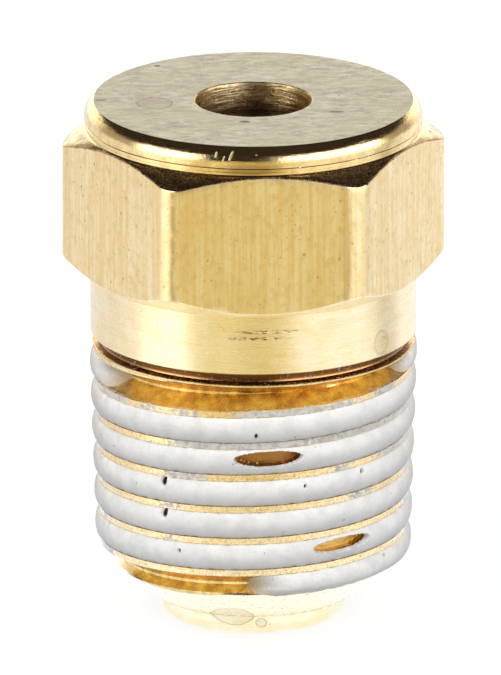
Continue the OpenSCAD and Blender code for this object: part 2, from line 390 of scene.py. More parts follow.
def brass_drawn():
    """Hexagon flats: cold-drawn bar with lines along it, small brown specks and dirt by the corners."""
    s = Shader("brass_drawn")
    streak = s.noise(s.stretch(1, 1, 0.03), 5.0, 5, 0.6)
    cloud = s.noise(s.pos, 0.9, 3)
    grain = s.noise(s.stretch(1, 1, 0.35, 3.0), 16.0, 3, 0.7)
    blotch = s.noise(s.stretch(1, 1, 0.7, 13.0), 3.2, 4, 0.65)
    specks = s.spots(1.9, 0.13, 0.5, s.stretch(1, 1, 0.8))
    dots = s.spots(3.4, 0.15, 0.5)
    color = s.mix(s.remap(streak, 0.42, 0.60), BRASS_PALE, (0.88, 0.64, 0.29))
    color = s.mix(s.remap(cloud, 0.42, 0.62, 0.0, 0.5), color, (0.86, 0.63, 0.28))
    color = s.mix(s.remap(blotch, 0.50, 0.66, 0.0, 0.55), color, (0.74, 0.52, 0.20))
    color = s.mix(s.remap(grain, 0.50, 0.70, 0.0, 0.35), color, (0.74, 0.52, 0.20))
    left = s.near_point(-3.94, -7.08, 0, 0.26, 0.8, (1, 1, 0))
    right = s.near_point(3.55, -7.15, 0, 0.45, 1.0, (1, 1, 0))
    dirt = s.math("MULTIPLY", left, s.remap(blotch, 0.36, 0.52, 0.3, 0.8))
    edge = s.math("MULTIPLY", right, s.remap(streak, 0.36, 0.56, 0.1, 0.5))
    color = s.mix(s.math("MAXIMUM", dirt, edge), color, (0.48, 0.32, 0.11))
    marks = s.math("MAXIMUM", specks, dots)
    color = s.tint(color, marks, 0.6, (0.42, 0.24, 0.08))
    height = s.math("ADD", s.math("MULTIPLY", streak, 0.9), s.math("MULTIPLY", grain, 0.25))
    return s.finish(color, s.remap(grain, 0.3, 0.7, 0.28, 0.40), 1.0, s.bump(height, 12))


def brass_faced():
    """Top face: faced off matt, greyed by handling, with a dried drop and small knocks."""
    s = Shader("brass_faced")
    brushed = s.noise(s.stretch(0.55, 1.3, 1), 2.6, 8, 0.72)
    fine = s.noise(s.stretch(0.8, 1, 1, 5.0), 9.0, 4, 0.7)
    cloud = s.noise(s.pos, 0.6, 3)
    speck = s.spots(2.2, 0.13, 0.25)
    color = s.mix(s.remap(brushed, 0.40, 0.60), (0.54, 0.46, 0.30), (0.97, 0.89, 0.67))
    color = s.mix(s.remap(fine, 0.42, 0.60, 0.0, 0.5), color, (0.84, 0.77, 0.58))
    color = s.mix(s.remap(cloud, 0.42, 0.60, 0.0, 0.4), color, (0.78, 0.69, 0.47))
    drop = s.ring_stain(-4.20, -0.27, TOTAL_H, 0.74, 0.09, seed=4.0)
    faint = s.ring_stain(4.8, 0.83, TOTAL_H, 0.8, 0.12, (0.7, 1.6, 1), seed=9.0)
    color = s.tint(color, drop, 0.7, (0.46, 0.29, 0.17))
    color = s.tint(color, faint, 0.3, (0.50, 0.36, 0.22))
    marks = s.most([
        s.near_point(-3.71, 5.0, TOTAL_H, 0.16),
        s.near_point(3.37, -2.08, TOTAL_H, 0.2, 0.4, (0.5, 1.4, 1)),
        s.near_point(-0.60, -3.24, TOTAL_H, 0.2, 0.4, (0.7, 1.0, 1)),
        s.near_point(-6.45, 0.3, TOTAL_H, 0.16, 0.4, (0.5, 1.4, 1)),
        s.math("MULTIPLY", speck, 0.6),
    ])
    color = s.tint(color, marks, 0.75, (0.20, 0.15, 0.08))
    height = s.math("ADD", s.plus(brushed, fine, 0.6), s.math("MULTIPLY", marks, -1.5))
    return s.finish(color, s.remap(fine, 0.3, 0.7, 0.36, 0.5), 1.0, s.bump(height, 22))


def brass_polished():
    """Rounded edge and land: bright turned brass with grit marks and a few scratches, and a brown patch
    painted on the front of the land as a dark reflection.
    """
    s = Shader("brass_polished")
    rings = s.noise(s.stretch(0.15, 0.15, 14), 1.0, 3, 0.6)
    wear = s.noise(s.pos, 2.2, 5, 0.7)
    grit = s.noise(s.pos, 11.0, 4, 0.7)
    color = s.mix(s.remap(wear, 0.42, 0.62), BRASS, (0.80, 0.56, 0.25))
    knocks = s.most([
        s.scratch(-2.05, -6.70, 22.15, 0.16, -15, 3.5),
        s.scratch(-1.75, -6.83, 22.02, 0.14, -20),
        s.scratch(-1.42, -6.85, 22.15, 0.28, -28, 5.0),
        s.scratch(-5.35, -4.3, 22.10, 0.20, 40, 2.0),
        s.scratch(-5.0, -4.75, 22.0, 0.14, -30, 2.0),
        s.spots(2.6, 0.12, 0.25),
    ])
    # Painted reflection: a brown patch darkens the front of the land where the brass mirrors the dark space
    # before it.
    dark_reflection_patch = s.near_point(-0.65, -7.1, 21.55, 1.7, 0.6, (1, 1, 4))
    color = s.tint(color, dark_reflection_patch, 0.8, (0.34, 0.20, 0.06))
    color = s.tint(color, knocks, 0.5, BRASS_PALE)
    height = s.math("ADD", s.math("MULTIPLY", rings, 0.6), s.math("MULTIPLY", wear, 0.8))
    height = s.plus(height, grit, 0.35)
    normal = s.bump(s.math("MULTIPLY", knocks, -1.0), 14, s.bump(height, 12))
    rough = s.math("MULTIPLY_ADD", knocks, 0.3, s.remap(wear, 0.35, 0.65, 0.08, 0.2))
    return s.finish(color, rough, 1.0, normal)


def brass_chamfered():
    """Chamfer over the hexagon's corners: rough turned, browned and pitted."""
    s = Shader("brass_chamfered")
    stain = s.noise(s.pos, 2.0, 3, 0.55)
    grit = s.noise(s.pos, 9.0, 4, 0.7)
    pits = s.spots(1.6, 0.2, 0.3)
    color = s.mix(s.remap(stain, 0.40, 0.60), (0.84, 0.62, 0.32), (0.50, 0.33, 0.16))
    color = s.mix(pits, color, (0.10, 0.05, 0.03))
    height = s.plus(stain, grit, 0.4)
    return s.finish(color, s.remap(grit, 0.35, 0.65, 0.18, 0.3), 1.0, s.bump(height, 9))


def nose_drops(s):
    """Two dried drops on the front of the nose, the larger one reaching up the chamfer."""
    large = s.ring_stain(-1.15, -3.83, 0.99, 0.9, 0.07, (1, 0.6, 1.75), seed=6.0)
    small = s.ring_stain(0.07, -3.9, 0.58, 0.22, 0.05, (1, 1, 1.2), seed=2.0)
    return s.math("MAXIMUM", large, small)


def brass_turned():
    """Collar and nose: fine turning lines, two rows of tool scratches and dried drops."""
    s = Shader("brass_turned")
    lines = s.noise(s.stretch(0.06, 0.06, 1, 2.0), 17.0, 4, 0.6)
    broad = s.noise(s.stretch(0.12, 0.12, 1, 5.0), 4.0, 3, 0.6)
    cloud = s.noise(s.pos, 1.1, 3)
    specks = s.spots(2.4, 0.13, 0.25)
    color = s.mix(s.remap(cloud, 0.42, 0.60), (0.95, 0.78, 0.48), (0.93, 0.73, 0.40))
    color = s.mix(s.remap(broad, 0.48, 0.66, 0.0, 0.4), color, (0.86, 0.65, 0.33))
    dash = s.remap(s.noise(s.stretch(1, 1, 2.5, 2.0), 5.0, 4, 0.7), 0.47, 0.53)
    upper_row = s.near_point(0.15, -6.87, 14.33, 1.75, 0.5, (1, 1, 18.0))
    lower_row = s.near_point(-0.3, -6.87, 14.04, 1.55, 0.5, (1, 1, 16.0))
    dashes = s.math("MULTIPLY", dash, s.math("MAXIMUM", upper_row, lower_row))
    stain = s.ring_stain(5.09, -4.62, 13.08, 0.42, 0.09, (1, 1, 0.9), seed=1.0)
    smudge = s.near_point(5.25, -4.45, 13.3, 0.34, 0.9)
    color = s.mix(dashes, color, (0.26, 0.12, 0.035))
    color = s.tint(color, s.math("MAXIMUM", stain, smudge), 0.4, (0.62, 0.36, 0.15))
    color = s.tint(color, nose_drops(s), 0.7, (0.55, 0.33, 0.12))
    color = s.tint(color, specks, 0.5, (0.50, 0.32, 0.12))
    height = s.math("ADD", s.math("MULTIPLY", lines, 0.8), s.math("MULTIPLY", broad, 0.8))
    normal = s.bump(s.math("MULTIPLY", dashes, -1.0), 4, s.bump(height, 9))
    return s.finish(color, s.remap(lines, 0.3, 0.7, 0.2, 0.32), 1.0, normal)


def brass_thread():
    """Thread, groove and ridge: painted golden shade and interreflection deeper in the grooves, a painted
    shadow under the collar, and crests wiped pale or with a skin on.
    """
    s = Shader("brass_thread")
    wear = s.noise(s.pos, 4.0, 5, 0.7)
    fine = s.noise(s.pos, 9.0, 5, 0.7)
    upright = s.noise(s.stretch(1, 1, 0.12, 6.0), 2.2, 3, 0.6)
    specks = s.spots(2.2, 0.14, 0.25)
    # Painted golden shade and interreflection: the brass goes deeper gold and darker by depth in the grooves.
    groove_shade = s.remap(s.ragged(s.value("groove_shade"), fine, 0.5), 0.40, 0.60)
    ragged = s.ragged(s.value("skin"), fine, 3.0)
    skin = s.remap(s.ragged(ragged, wear, 2.0), 0.40, 0.60)
    cone = s.remap(s.z, THREAD_FOOT + END_CHAMFER_H - 0.2, THREAD_FOOT + END_CHAMFER_H - 0.4)
    pale = s.mix(s.remap(fine, 0.46, 0.62), (0.93, 0.68, 0.34), (0.74, 0.46, 0.16))
    pale = s.mix(cone, pale, (0.97, 0.84, 0.55))
    golden = s.mix(s.remap(upright, 0.40, 0.60), (0.88, 0.61, 0.19), (0.66, 0.40, 0.12))
    # Painted shadow: the groove under the collar's overhang goes dark towards the collar.
    shade = s.mix(s.remap(s.z, RIDGE_Z + 0.14, RIDGE_Z + 0.26), (0.75, 0.42, 0.14), (0.13, 0.05, 0.012))
    golden = s.mix(s.remap(s.z, RIDGE_Z + 0.06, RIDGE_Z + 0.12), golden, shade)
    color = s.mix(groove_shade, pale, golden)
    color = s.tint(color, specks, 0.6, BRASS_BROWN)
    color = s.tint(color, nose_drops(s), 0.7, (0.55, 0.33, 0.12))
    color = s.mix(skin, color, s.mix(s.remap(wear, 0.45, 0.62), (0.74, 0.73, 0.69), (0.52, 0.47, 0.38)))
    calm = s.math("SUBTRACT", 1.3, s.math("MAXIMUM", groove_shade, cone))
    height = s.math("MULTIPLY", s.math("ADD", wear, fine), calm)
    s.finish(color, s.remap(wear, 0.35, 0.65, 0.20, 0.36), 1.0, s.bump(height, 8))
    s.put(s.bsdf.inputs["Metallic"], s.math("SUBTRACT", 1.0, skin))
    return s.material


def brass_bore():
    """Outlet recess and chamber: drilled walls with ring marks and blotches of tarnish, and painted shade
    that darkens them from the recess floor inwards.
    """
    s = Shader("brass_bore")
    rings = s.noise(s.stretch(0.12, 0.12, 1, 3.0), 9.0, 4, 0.65)
    wear = s.noise(s.pos, 3.0, 4, 0.65)
    # Painted shade: near black from the recess floor down through the orifice and chamber, fading out up the
    # recess wall.
    depth = s.remap(s.z, RECESS_FLOOR, RECESS_FLOOR + 0.7)
    color = s.mix(s.remap(rings, 0.42, 0.60), (1.0, 0.77, 0.38), (0.66, 0.43, 0.16))
    color = s.mix(s.remap(wear, 0.50, 0.66, 0.0, 0.6), color, (0.46, 0.30, 0.15))
    color = s.mix(depth, (0.14, 0.08, 0.04), color)
    height = s.plus(rings, wear, 0.4)
    return s.finish(color, s.remap(wear, 0.3, 0.7, 0.22, 0.38), 1.0, s.bump(height, 45))


def sealant():
    """Dry pipe sealant: satin pale grey with pin pricks and scuffs, and painted shade on each bead's lower
    half, along its lower edge, at its outline and in the pricks. Where it is missing, brass shows, painted
    dark amber as shade.
    """
    s = Shader("sealant")
    fine = s.noise(s.pos, 9.0, 4, 0.6)
    torn = s.ragged(s.value("missing"), fine, 0.2)
    bare = s.remap(torn, 0.44, 0.52)
    across = s.value("across")
    cloud = s.noise(s.pos, 1.3, 3)
    grime_and_shadow = s.noise(s.stretch(1, 1, 1, 8.0), 5.0, 4, 0.65)
    pits = s.spots(2.3, 0.12, 0.16)
    color = s.mix(s.remap(cloud, 0.42, 0.62), (0.93, 0.92, 0.895), (0.83, 0.825, 0.805))
    color = s.mix(s.remap(fine, 0.55, 0.75, 0.0, 0.4), color, (0.62, 0.60, 0.56))
    # Painted shade: each bead darker towards its lower side.
    color = s.mix(s.remap(across, 0.35, -0.85, 0.0, 0.55), color, (0.50, 0.49, 0.475))
    # Painted shadow: a dark brown line along each bead's lower edge, above the crest, mottled by grime noise.
    lower_edge_shadow = s.math("MULTIPLY", s.remap(across, -0.86, -0.98), s.remap(grime_and_shadow, 0.42, 0.56, 0.25, 1.0))
    color = s.mix(lower_edge_shadow, color, (0.46, 0.38, 0.26))
    color = s.tint(color, pits, 0.6, (0.35, 0.33, 0.30))
    # Painted shade: browner and darker where the bead turns away from the view, at its outline.
    rim = s.add("ShaderNodeLayerWeight")
    rim.inputs["Blend"].default_value = 0.5
    color = s.mix(s.remap(rim.outputs["Facing"], 0.5, 0.95, 0.0, 0.8), color, (0.42, 0.34, 0.24))
    # Painted shade: the pricks go near black inside.
    color = s.mix(s.remap(s.value("hole"), 0.25, 0.5), color, (0.03, 0.018, 0.01))
    # Painted shade and amber interreflection on the brass in the voids: darker towards the upper side and
    # round the torn edge as a painted shadow, lighter low on the thread.
    metal = s.mix(s.remap(across, 0.3, -0.4), (0.40, 0.18, 0.05), (0.52, 0.29, 0.09))
    metal = s.mix(s.remap(s.z, 5.5, 4.5), metal, (0.66, 0.42, 0.12))
    metal = s.mix(s.remap(torn, 0.54, 0.68), (0.20, 0.09, 0.03), metal)
    color = s.mix(bare, color, metal)
    thin = s.ragged(s.value("thin"), fine, 0.8)
    color = s.mix(s.remap(thin, 0.2, 0.9, 0.0, 0.8), color, (0.62, 0.46, 0.22))
    height = s.math("ADD", s.math("MULTIPLY", cloud, 1.5), s.math("MULTIPLY", fine, 0.3))
    normal = s.bump(s.math("MULTIPLY", pits, -1.0), 25, s.bump(height, 30))
    s.finish(color, s.remap(fine, 0.3, 0.7, 0.28, 0.4), 0.0, normal, Specular_IOR_Level=0.12)
    s.put(s.bsdf.inputs["Metallic"], bare)
    return s.material


def works_brass():
    """Small turned parts inside: cleaner brass with turning lines."""
    s = Shader("works_brass")
    lines = s.noise(s.stretch(0.2, 0.2, 1), 18.0, 3, 0.6)
    wear = s.noise(s.pos, 3.0, 4, 0.65)
    color = s.mix(s.remap(wear, 0.3, 0.7), (0.92, 0.69, 0.31), (0.80, 0.56, 0.22))
    height = s.plus(lines, wear, 0.5)
    return s.finish(color, s.remap(lines, 0.3, 0.7, 0.2, 0.32), 1.0, s.bump(height, 8))


def fibre():
    """Vulcanised fibre: brick red, matt, with short pale fibres pressed flat."""
    s = Shader("fibre")
    strands = s.noise(s.stretch(1, 5, 0.6), 3.2, 5, 0.7)
    across = s.noise(s.stretch(5, 1, 0.6, 4.0), 3.2, 5, 0.7)
    fuzz = s.math("MAXIMUM", strands, across)
    color = s.mix(s.remap(fuzz, 0.45, 0.75), (0.26, 0.045, 0.025), (0.45, 0.12, 0.07))
    return s.finish(color, s.remap(fuzz, 0.4, 0.7, 0.75, 0.55), 0.0, s.bump(fuzz, 30))


def rubber():
    """Seal: black rubber with a fine moulded grain."""
    s = Shader("rubber")
    grain = s.noise(s.pos, 14.0, 4, 0.6)
    color = s.mix(s.remap(grain, 0.3, 0.7), (0.012, 0.012, 0.014), (0.035, 0.035, 0.038))
    return s.finish(color, s.remap(grain, 0.3, 0.7, 0.5, 0.68), 0.0, s.bump(grain, 12))


def steel():
    """Stainless wire: bright, with drawing lines."""
    s = Shader("steel")
    draw = s.noise(s.stretch(3, 3, 9), 2.0, 4, 0.6)
    color = s.mix(s.remap(draw, 0.3, 0.7), (0.52, 0.53, 0.55), (0.72, 0.72, 0.74))
    return s.finish(color, s.remap(draw, 0.3, 0.7, 0.2, 0.36), 1.0, s.bump(draw, 5))


# ---------------------------------------------------------------- body


def column_azimuths():
    """Angles of the body's columns: close together round the hexagon's corners."""
    worn = math.degrees(math.atan2(CORNER_CENTRE / 2, LAND_R))
    half_corner = 30 - worn
    out = []
    for side in range(6):
        middle = 60 * side
        for k in range(48):
            out.append(middle - worn + 2 * worn * k / 48)
        for k in range(14):
            out.append(middle + worn + 2 * half_corner * k / 14)
    return [a % 360 for a in out]


def hex_r(azimuth):
    """Radius of the hexagon's surface, with the bar's rounded corners."""
    off = abs((azimuth + 30) % 60 - 30)
    if off < math.degrees(math.atan2(CORNER_CENTRE / 2, LAND_R)):
        return LAND_R / math.cos(math.radians(off))
    turn = math.radians(30 - off)
    return CORNER_CENTRE * math.cos(turn) + math.sqrt(CORNER_ROUND**2 - (CORNER_CENTRE * math.sin(turn)) ** 2)


def thread_r(azimuth, z):
    """Radius of the thread's surface, cut back by the end chamfer and run out under the ridge."""
    turn = (z - crest_z(azimuth)) / PITCH
    off = abs(turn - round(turn)) * PITCH
    depth = max(0.0, min(THREAD_DEPTH, (off - CREST_FLAT / 2) / math.tan(math.radians(30))))
    r = min(crest_r(z) - depth, end_cone_r(z))
    return max(r, RIDGE_R - 1.5 * THREAD_DEPTH * (RIDGE_Z - z) / RUNOUT_H)


# Heights from the crest line at which the body has rows, over one pitch
THREAD_STATIONS = [
    -0.65, -0.58, -0.49, -0.40, -0.31, -0.23, -0.17, -0.13, -0.05, 0.05,
    0.13, 0.17, 0.23, 0.31, 0.40, 0.49, 0.58, 0.65, 0.7055,
]

# Stretches of crest on the front that were wiped clean, by total angle
WIPED = [
    (-430, -285), (-75, -38), (-35, 71), (281, 320), (327, 394), (404, 431), (640, 680), (699, 748),
    (754, 767), (1001, 1044), (1384, 1391), (1399, 1406), (1414, 1429), (1476, 1485),
]


def wiped(total):
    """1 where a crest is clean of sealant, 0 where a skin covers it."""
    if abs((total + 180) % 360 - 180) > 80:
        return min(1.0, max(0.0, 0.8 + 3 * wave(total / 23, 4.0)))
    return max(min(1.0, max(0.0, 0.5 + min(total - a, b - total) / 9)) for a, b in WIPED)


def groove_shade_at(azimuth, r, z):
    """Painted golden shade and interreflection, 0 to 1: by depth in the grooves, and on the end chamfer a
    crescent at the left.
    """
    if z > RIDGE_Z - 0.01 and r > RIDGE_R - 0.05:
        return 0.5
    if z > THREAD_FOOT + END_CHAMFER_H:
        return min(1.0, max(0.0, (crest_r(z) - r - 0.02) / 0.16))
    front = (azimuth + 180) % 360 - 180
    along = (front + 37) / 30
    middle = crest_z(front) - 1.5 * PITCH
    half = 0.52 * max(0.0, 1 - along * along) ** 0.35
    return min(1.0, max(0.0, 0.5 + (half - abs(z - middle)) / 0.12))


def nose_rows():
    """Rows (r, z, group) from the lip's opening round the nose to the foot of the thread."""
    rows = []

    def add(r, z, group):
        rows.append((r, z, group))

    for k in range(5):
        a = math.radians(90 - 22.5 * k)
        add(LIP_R + 0.08 - 0.08 * math.sin(a), 0.08 - 0.08 * math.cos(a) if k < 4 else 0.0, "turned")
    add(3.0, 0.0, "turned")
    for k in range(9):
        a = math.radians(90 * k / 8)
        add(NOSE_R - 0.5 + 0.5 * math.sin(a), 0.5 - 0.5 * math.cos(a), "turned")
    for k in range(1, 6):
        add(NOSE_R + 0.006 * wave(k * 0.9), 0.5 + (THREAD_FOOT - 0.5) * k / 6, "turned")
    add(NOSE_R + 0.02, THREAD_FOOT, "turned")
    add(END_FACE_R, THREAD_FOOT + 0.04, "turned")
    return rows


def body_column(azimuth):
    """The closed loop of (r, z, group) at one angle, and where its thread rows start and end."""
    rows = nose_rows()
    thread_start = len(rows)
    skins = []
    for turn in range(-5, 7):
        for step in THREAD_STATIONS:
            z = min(max(crest_z(azimuth) + turn * PITCH + step, THREAD_FOOT + 0.04), RIDGE_Z)
            worn = 0.012 * wave(azimuth / 4 + 90 * turn, step * 5) if abs(step) < 0.2 else 0
            rows.append((thread_r(azimuth, z) + worn, z, "thread"))
            total = azimuth + 360 * turn
            upper = 0.28 if 1010 < total < 1240 and step > 0 else 0.08
            on_crest = max(0.0, 1 - max(0.0, abs(step) - upper) / 0.12) if 3 < z and total < 1500 else 0
            skins.append((1 - wiped(total)) * on_crest)
    thread_end = len(rows)
    nick = 0.01 * wave(azimuth / 7, 2.0)
    ridge_top = RIDGE_Z + RIDGE_T
    rows += [
        (RIDGE_R, RIDGE_Z, "thread"),
        (RIDGE_R + 0.01 + nick, RIDGE_Z + 0.03, "thread"),
        (RIDGE_R + 0.01 + nick, ridge_top - 0.03, "thread"),
        (RIDGE_R - 0.02, ridge_top, "thread"),
        (GROOVE_R + 0.02, ridge_top + 0.07, "thread"),
        (GROOVE_R, ridge_top + 0.12, "thread"),
        (GROOVE_R, COLLAR_FOOT - 0.1, "thread"),
        (GROOVE_R + 0.03, COLLAR_FOOT - 0.06, "thread"),
        (COLLAR_R - 0.04, COLLAR_FOOT - 0.01, "thread"),
        (COLLAR_R, COLLAR_FOOT + 0.03, "turned"),
    ]
    for k in range(1, 16):
        z = COLLAR_FOOT + 0.03 + (COLLAR_TOP - COLLAR_FOOT - 0.03) * k / 15
        rows.append((COLLAR_R + 0.004 * wave(z * 5, 1.0), z, "turned"))
    surface = hex_r(azimuth)
    cone_top = COLLAR_TOP + (surface - COLLAR_R) * HEX_FOOT_SLOPE
    steps = 5
    edge = 0.03
    for k in range(1, steps + 1):
        share = k / steps
        r = COLLAR_R + (surface - edge - COLLAR_R) * share
        rows.append((r, COLLAR_TOP + (cone_top - edge - COLLAR_TOP) * share, "turned"))
    chamfer_z = LAND_FOOT - CHAMFER_DROP - (surface - LAND_R) * CHAMFER_SLOPE
    flat_from = cone_top + edge * 0.6 + 0.02 * max(0.0, wave(azimuth / 3, 9.0))
    flat_to = chamfer_z - 0.07 - 0.05 * max(0.0, wave(azimuth / 2.5, 4.0))
    for k in range(17):
        z = flat_from + (flat_to - flat_from) * k / 16
        hollow = 0.006 * wave(azimuth / 9, z * 0.5) + 0.004 * wave(azimuth / 2, z * 0.1)
        rows.append((surface + hollow, z, "drawn"))
    rows += [
        (surface - 0.01, chamfer_z - 0.04, "chamfered"),
        (surface - 0.03, chamfer_z - 0.005, "chamfered"),
    ]
    for k in range(1, 6):
        r = max(LAND_R - 0.06, surface - 0.06 + (LAND_R - surface + 0.06) * k / 5)
        rows.append((r, LAND_FOOT - CHAMFER_DROP - (r - LAND_R) * CHAMFER_SLOPE, "chamfered"))
    rows += [
        (LAND_R - 0.06, LAND_FOOT - 0.03, "polished"),
        (LAND_R - 0.05, LAND_FOOT + 0.07, "polished"),
        (LAND_R - 0.01, LAND_FOOT + 0.11, "polished"),
        (LAND_R - 0.005, LAND_FOOT + 0.24, "polished"),
        (LAND_R - 0.025, LAND_FOOT + 0.27, "polished"),
        (LAND_R - 0.005, LAND_FOOT + 0.31, "polished"),
    ]
    rise = math.sqrt(LAND_ROUND**2 - (FACE_R - LAND_R + LAND_ROUND) ** 2)
    start = math.asin(rise / LAND_ROUND)
    for k in range(0, 15):
        a = start * k / 14
        r = LAND_R - LAND_ROUND + LAND_ROUND * math.cos(a)
        z = TOTAL_H - rise + LAND_ROUND * math.sin(a)
        dent = 0.012 * max(0.0, wave(azimuth / 5, k * 0.4, 3.0) - 0.2)
        rows.append((r - dent, z - dent * 0.5, "polished"))
    for k in range(1, 24):
        r = FACE_R + (RECESS_R + 0.06 - FACE_R) * k / 23
        rows.append((r, TOTAL_H - 0.003 * max(0, wave(azimuth / 20, r)), "faced"))
    rows += [
        (RECESS_R + 0.02, TOTAL_H - 0.025, "bore"),
        (RECESS_R, TOTAL_H - 0.07, "bore"),
    ]
    for k in range(1, 19):
        z = TOTAL_H - 0.07 - (TOTAL_H - 0.07 - RECESS_FLOOR) * k / 18
        ring = 0.012 * wave(z * 6.5, 4.0) + 0.006 * wave(z * 17, 8.0)
        rows.append((RECESS_R - max(0.0, ring), z, "bore"))
    for k in range(1, 8):
        r = RECESS_R + (ORIFICE_R + 0.1 - RECESS_R) * k / 7
        rows.append((r, RECESS_FLOOR - 0.02 * math.sin(math.pi * k / 8), "bore"))
    rows += [
        (ORIFICE_R, RECESS_FLOOR - 0.1, "bore"),
        (ORIFICE_R, (RECESS_FLOOR + SEAT_Z) / 2, "bore"),
        (ORIFICE_R, SEAT_Z + 0.05, "bore"),
        (ORIFICE_R + 0.05, SEAT_Z, "bore"),
        (ORIFICE_R + 0.45, SEAT_Z, "bore"),
        (ORIFICE_R + 0.5, SEAT_Z + 0.05, "bore"),
        (ORIFICE_R + 0.5, ROOF_Z, "bore"),
        (CHAMBER_R - 0.3, ROOF_Z, "bore"),
        (CHAMBER_R, ROOF_Z - 0.02, "bore"),
    ]
    for k in range(1, 20):
        rows.append((CHAMBER_R, ROOF_Z - 0.02 - (ROOF_Z - 0.02 - LIP_T) * k / 19, "bore"))
    rows += [
        (LIP_R + 0.1, LIP_T, "turned"),
        (LIP_R + 0.02, LIP_T - 0.03, "turned"),
        (LIP_R, LIP_T - 0.1, "turned"),
    ]
    return rows, thread_start, thread_end, skins


def make_body(materials):
    azimuths = column_azimuths()
    order = list(materials)
    columns = [body_column(a) for a in azimuths]
    start, end = columns[0][1], columns[0][2]
    per_turn = len(THREAD_STATIONS)
    n = len(columns[0][0])
    # The seam is between the last column before 360 degrees and the first after it
    seam = max(range(len(azimuths)), key=lambda i: azimuths[i])
    points, faces, indices = [], [], []
    # Per point: the painted golden shade in the grooves, and the sealant skin on the crests.
    groove_shade, skin = [], []
    for azimuth, (rows, _, _, skins) in zip(azimuths, columns):
        for j, (r, z, group) in enumerate(rows):
            points.append(around(r, azimuth, z))
            groove_shade.append(groove_shade_at(azimuth, r, z) if group == "thread" else 0.0)
            skin.append(skins[j - start] if start <= j < end else 0.0)

    def across_seam(j):
        if start <= j < end - per_turn:
            return j + per_turn
        if end - per_turn <= j < end:
            return end
        return j

    for i in range(len(azimuths)):
        k = (i + 1) % len(azimuths)
        for j in range(n):
            m = (j + 1) % n
            if i == seam:
                face = (i * n + j, k * n + across_seam(j), k * n + across_seam(m), i * n + m)
            else:
                face = (i * n + j, k * n + j, k * n + m, i * n + m)
            faces.append(face)
            indices.append(order.index(columns[i][0][m][2]))
    values = {"groove_shade": groove_shade, "skin": skin}
    obj = make_mesh("vent_body", points, faces, [materials[g] for g in order], indices, 28, values)
    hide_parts("body")
    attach(obj, "root")
    return obj


# ---------------------------------------------------------------- sealant

# Places along the bead: total angle in degrees, place across it from -1 (low) to 1 (high), half sizes
VOIDS = [
    (721.5, 0.26, 12.2, 0.66),
    (-329.2, 0.28, 12.0, 0.54),
    (905, 0.1, 7.0, 0.40),
    (520, -0.1, 9.0, 0.45),
    (165, 0.2, 6.0, 0.40),
]
PRICKS = [
    (321.5, 0.66, 0.12), (-38.5, 0.66, 0.12), (1077, -0.4, 0.055), (399, 0.55, 0.07), (375, 0.36, 0.045),
    (-392, 0.36, 0.05), (-667, 0.6, 0.06), (830, 0.2, 0.07), (200, -0.3, 0.07),
]


def void_at(total, v):
    """How far the bead is missing at a place, 0 to 1: a lens with a flatter upper side and drawn-out ends."""
    missing = 0.0
    for at, place, half_along, half_across in VOIDS:
        u, w = (total - at) / half_along, (v - place) / half_across
        if abs(u) < 1.3 and abs(w) < 1.3:
            edge = abs(u) ** 2.2 + w * w * (1.0 if w < 0 else 1.35) + 0.06 * wave(total / 9, v * 1.5)
            missing = max(missing, min(1.0, max(0.0, (1.08 - edge) / 0.14)))
    return missing * missing * (3 - 2 * missing)


def bead_stations(first, last):
    """Total angles along the bead, closer together at the voids and pricks."""
    stations = [first]
    while stations[-1] < last:
        here = stations[-1]
        near = any(abs(here - at) < half + 2 for at, _, half, _ in VOIDS)
        near = near or any(abs(here - prick[0]) < 2 for prick in PRICKS)
        stations.append(min(last, here + (0.3 if near else 1.2)))
    return stations


def prick_at(total, v):
    """How deep a prick in the bead is at a place, 0 to 1."""
    deepest = 0.0
    for at, place, size in PRICKS:
        off = math.hypot(math.radians(total - at) * 6.7, (v - place) * 0.36)
        deepest = max(deepest, 1 - off / (size * 1.5))
    return deepest


def make_bead(first, last, fade_in, fade_out, drop=0.0, scale=1.0):
    """The sealant in the groove from one total angle to another, as one closed body, with its values."""
    across = 34
    points, faces = [], []
    values = {"missing": [], "across": [], "thin": [], "hole": []}
    stations = bead_stations(first, last)
    for total in stations:
        ends = min(1.0, (total - first + 0.5) / fade_in, (last - total + 0.5) / fade_out)
        ends = ends * ends * (3 - 2 * ends)
        middle = crest_z(total) + PITCH / 2 - drop
        ragged = 0.09 if total < -620 else 0.03
        low = (BEAD_HALF + ragged * wave(total / 3.1, 2.0)) * scale
        high = (BEAD_HALF + 0.03 * wave(total / 2.7, 12.0)) * scale
        proud = SEALANT_PROUD + 0.03 * wave(total / 40, 5.0) + 0.012 * wave(total / 11, 9.0)
        for k in range(across + 1):
            turn = math.pi * (k / across - 0.5)
            v = math.sin(turn)
            z = middle + v * (low if v < 0 else high)
            edge = thread_r(total, middle + (high if v > 0 else -low)) - 0.02
            top = min(crest_r(z), end_cone_r(z) + 0.04) + proud
            groove = thread_r(total, z)
            r = edge + (top - edge) * math.cos(turn)
            r = groove - 0.1 + (r - groove + 0.1) * ends
            gone = void_at(total, v)
            r += (max(groove - 0.06, crest_r(z) - 0.42) - r) * gone
            hole = prick_at(total, v)
            r -= 0.25 * hole**0.6
            points.append(around(r, total, z))
            values["missing"].append(gone)
            values["across"].append(v)
            values["thin"].append(1 - ends)
            values["hole"].append(hole)
        root = min(crest_r(middle) - THREAD_DEPTH, thread_r(total, middle))
        points.append(around(root - 0.15, total, middle))
        for numbers in values.values():
            numbers.append(0.0)
    n = across + 2
    for i in range(len(stations) - 1):
        for k in range(n):
            q = (k + 1) % n
            faces.append((i * n + k, (i + 1) * n + k, (i + 1) * n + q, i * n + q))
    for start in (0, len(points) - n):
        faces += [(start + k, start + k + 1, start + n - 1) for k in range(n - 2)]
    return points, faces, values


